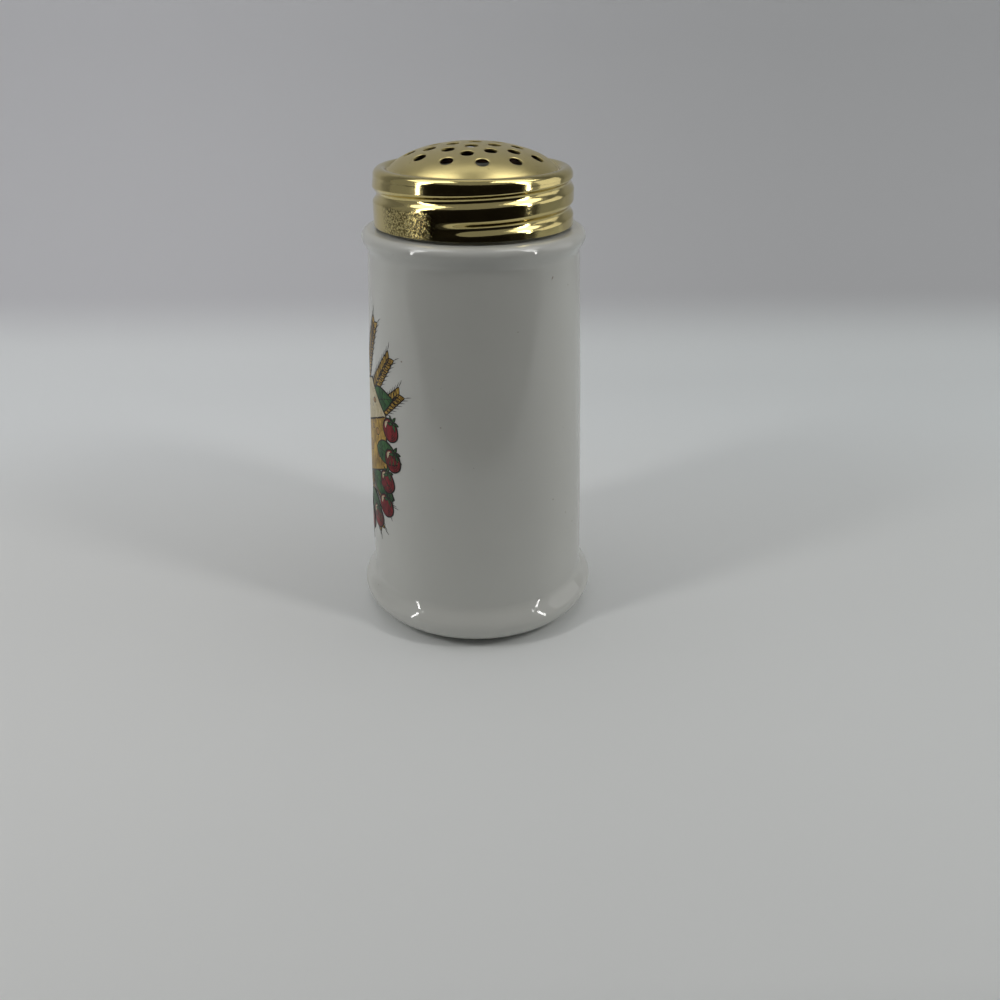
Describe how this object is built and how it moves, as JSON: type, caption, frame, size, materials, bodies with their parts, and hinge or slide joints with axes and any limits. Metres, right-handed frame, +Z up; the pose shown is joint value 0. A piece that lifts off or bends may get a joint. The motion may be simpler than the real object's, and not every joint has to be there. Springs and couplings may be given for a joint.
{
  "type": "parmesan shaker",
  "caption": "Tapered glazed ceramic shaker with a bulging foot and a gold-tone threaded metal cap, domed and perforated, for sprinkling grated cheese.",
  "frame": {"origin": "middle of the base, on the surface that the shaker stands on", "axes": "+Z up along the shaker's axis, -Y towards the viewer of the picture, +X to the viewer's right; the picture faces -X"},
  "size_m": [0.073, 0.073, 0.1401],
  "materials": {
    "glazed_ceramic": "white gloss glaze",
    "fired_print": "fired transfer print in green, red, gold and dark brown, gloss",
    "gold_metal": "polished gold-tone skirt and bead, satin dome",
    "liner_board": "red-brown fibre board"
  },
  "bodies": {
    "jar": {"jar_body": "glazed_ceramic", "decal": "fired_print"},
    "liner": {"cap_liner": "liner_board"},
    "cap": {"cap_shell": "gold_metal"}
  },
  "joints": [
    {"name": "cap_lift", "type": "slide", "parent": "jar", "child": "liner", "axis": [0, 0, 1], "range_m": [0, 0.0144]},
    {"name": "cap_turn", "type": "hinge", "parent": "liner", "child": "cap", "pos_m": [0, 0, 0.12], "axis": [0, 0, 1], "range_deg": [0, 770]}
  ],
  "couplings": [
    {"joint": "cap_lift", "follows": "cap_turn", "m_per_rad": 0.0010663}
  ]
}
